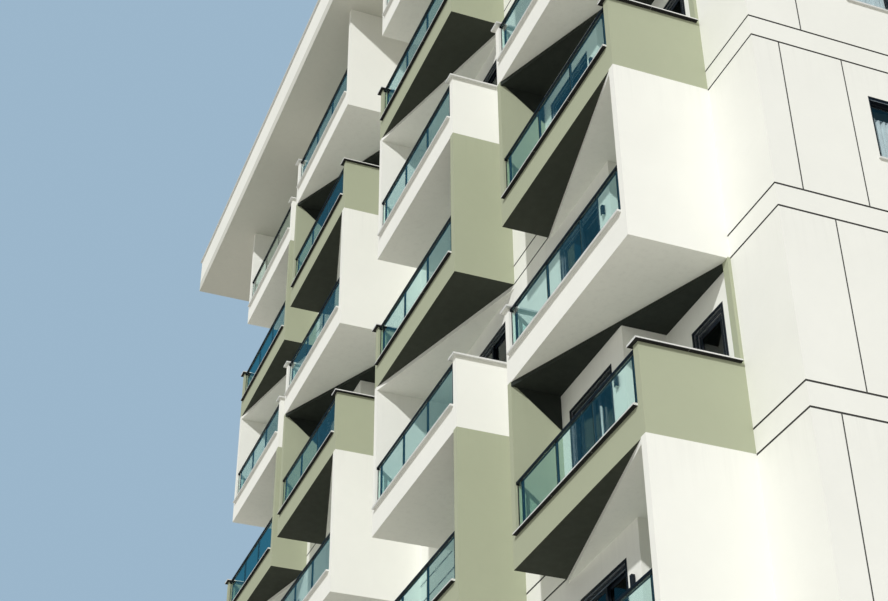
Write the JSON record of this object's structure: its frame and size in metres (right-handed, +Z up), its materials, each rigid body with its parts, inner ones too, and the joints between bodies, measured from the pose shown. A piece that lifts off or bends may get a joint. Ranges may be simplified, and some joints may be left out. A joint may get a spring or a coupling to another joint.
{
  "type": "apartment block",
  "caption": "Apartment block with zigzag balconies in white and sage green, glass railings and a deep overhanging flat roof.",
  "frame": {"origin": "on the ground under the middle of the roof", "axes": "+Z up, -Y out of the balcony front, +X along the front to the right gable"},
  "size_m": [27.54, 18.67, 31.53],
  "materials": {
    "concrete": "smooth cast concrete",
    "white_render": "fine matt render, painted white",
    "green_render": "fine matt render, painted sage green",
    "dark_render": "fine matt render, painted dark olive",
    "light_coping": "honed light stone",
    "dark_coping": "honed dark stone",
    "railing_glass": "clear laminated glass with a teal tint",
    "dark_frame": "satin dark coating",
    "roof_metal": "mill finish sheet"
  },
  "bodies": {
    "root": {"ground_slab": "concrete", "floor_slabs": "concrete", "nook_floors": "concrete", "white_balcony_slabs": "concrete", "green_balcony_slabs": "concrete", "recess_slabs": "concrete", "door_wall_piers": "white_render", "door_wall_spandrels": "white_render", "recess_wall_piers": "white_render", "recess_wall_spandrels": "white_render", "front_return_walls": "white_render", "right_gable_piers": "white_render", "right_gable_spandrels": "white_render", "left_gable_piers": "white_render", "left_gable_spandrels": "white_render", "back_wall_piers": "white_render", "back_wall_spandrels": "white_render", "white_soffits": "white_render", "white_front_bands": "white_render", "white_side_walls": "white_render", "white_side_parapets": "white_render", "roof_slab": "white_render", "roof_fascia_long": "white_render", "roof_fascia_short": "white_render", "green_front_bands": "green_render", "green_side_walls": "green_render", "green_side_parapets": "green_render", "green_corner_strips": "green_render", "green_soffits": "dark_render", "white_front_copings": "light_coping", "white_side_copings": "light_coping", "dark_front_copings": "dark_coping", "dark_side_copings": "dark_coping", "railing_glass": "railing_glass", "railing_posts": "dark_frame", "handrails": "dark_frame", "roof_cap_long": "roof_metal", "roof_cap_short": "roof_metal"}
  },
  "joints": []
}
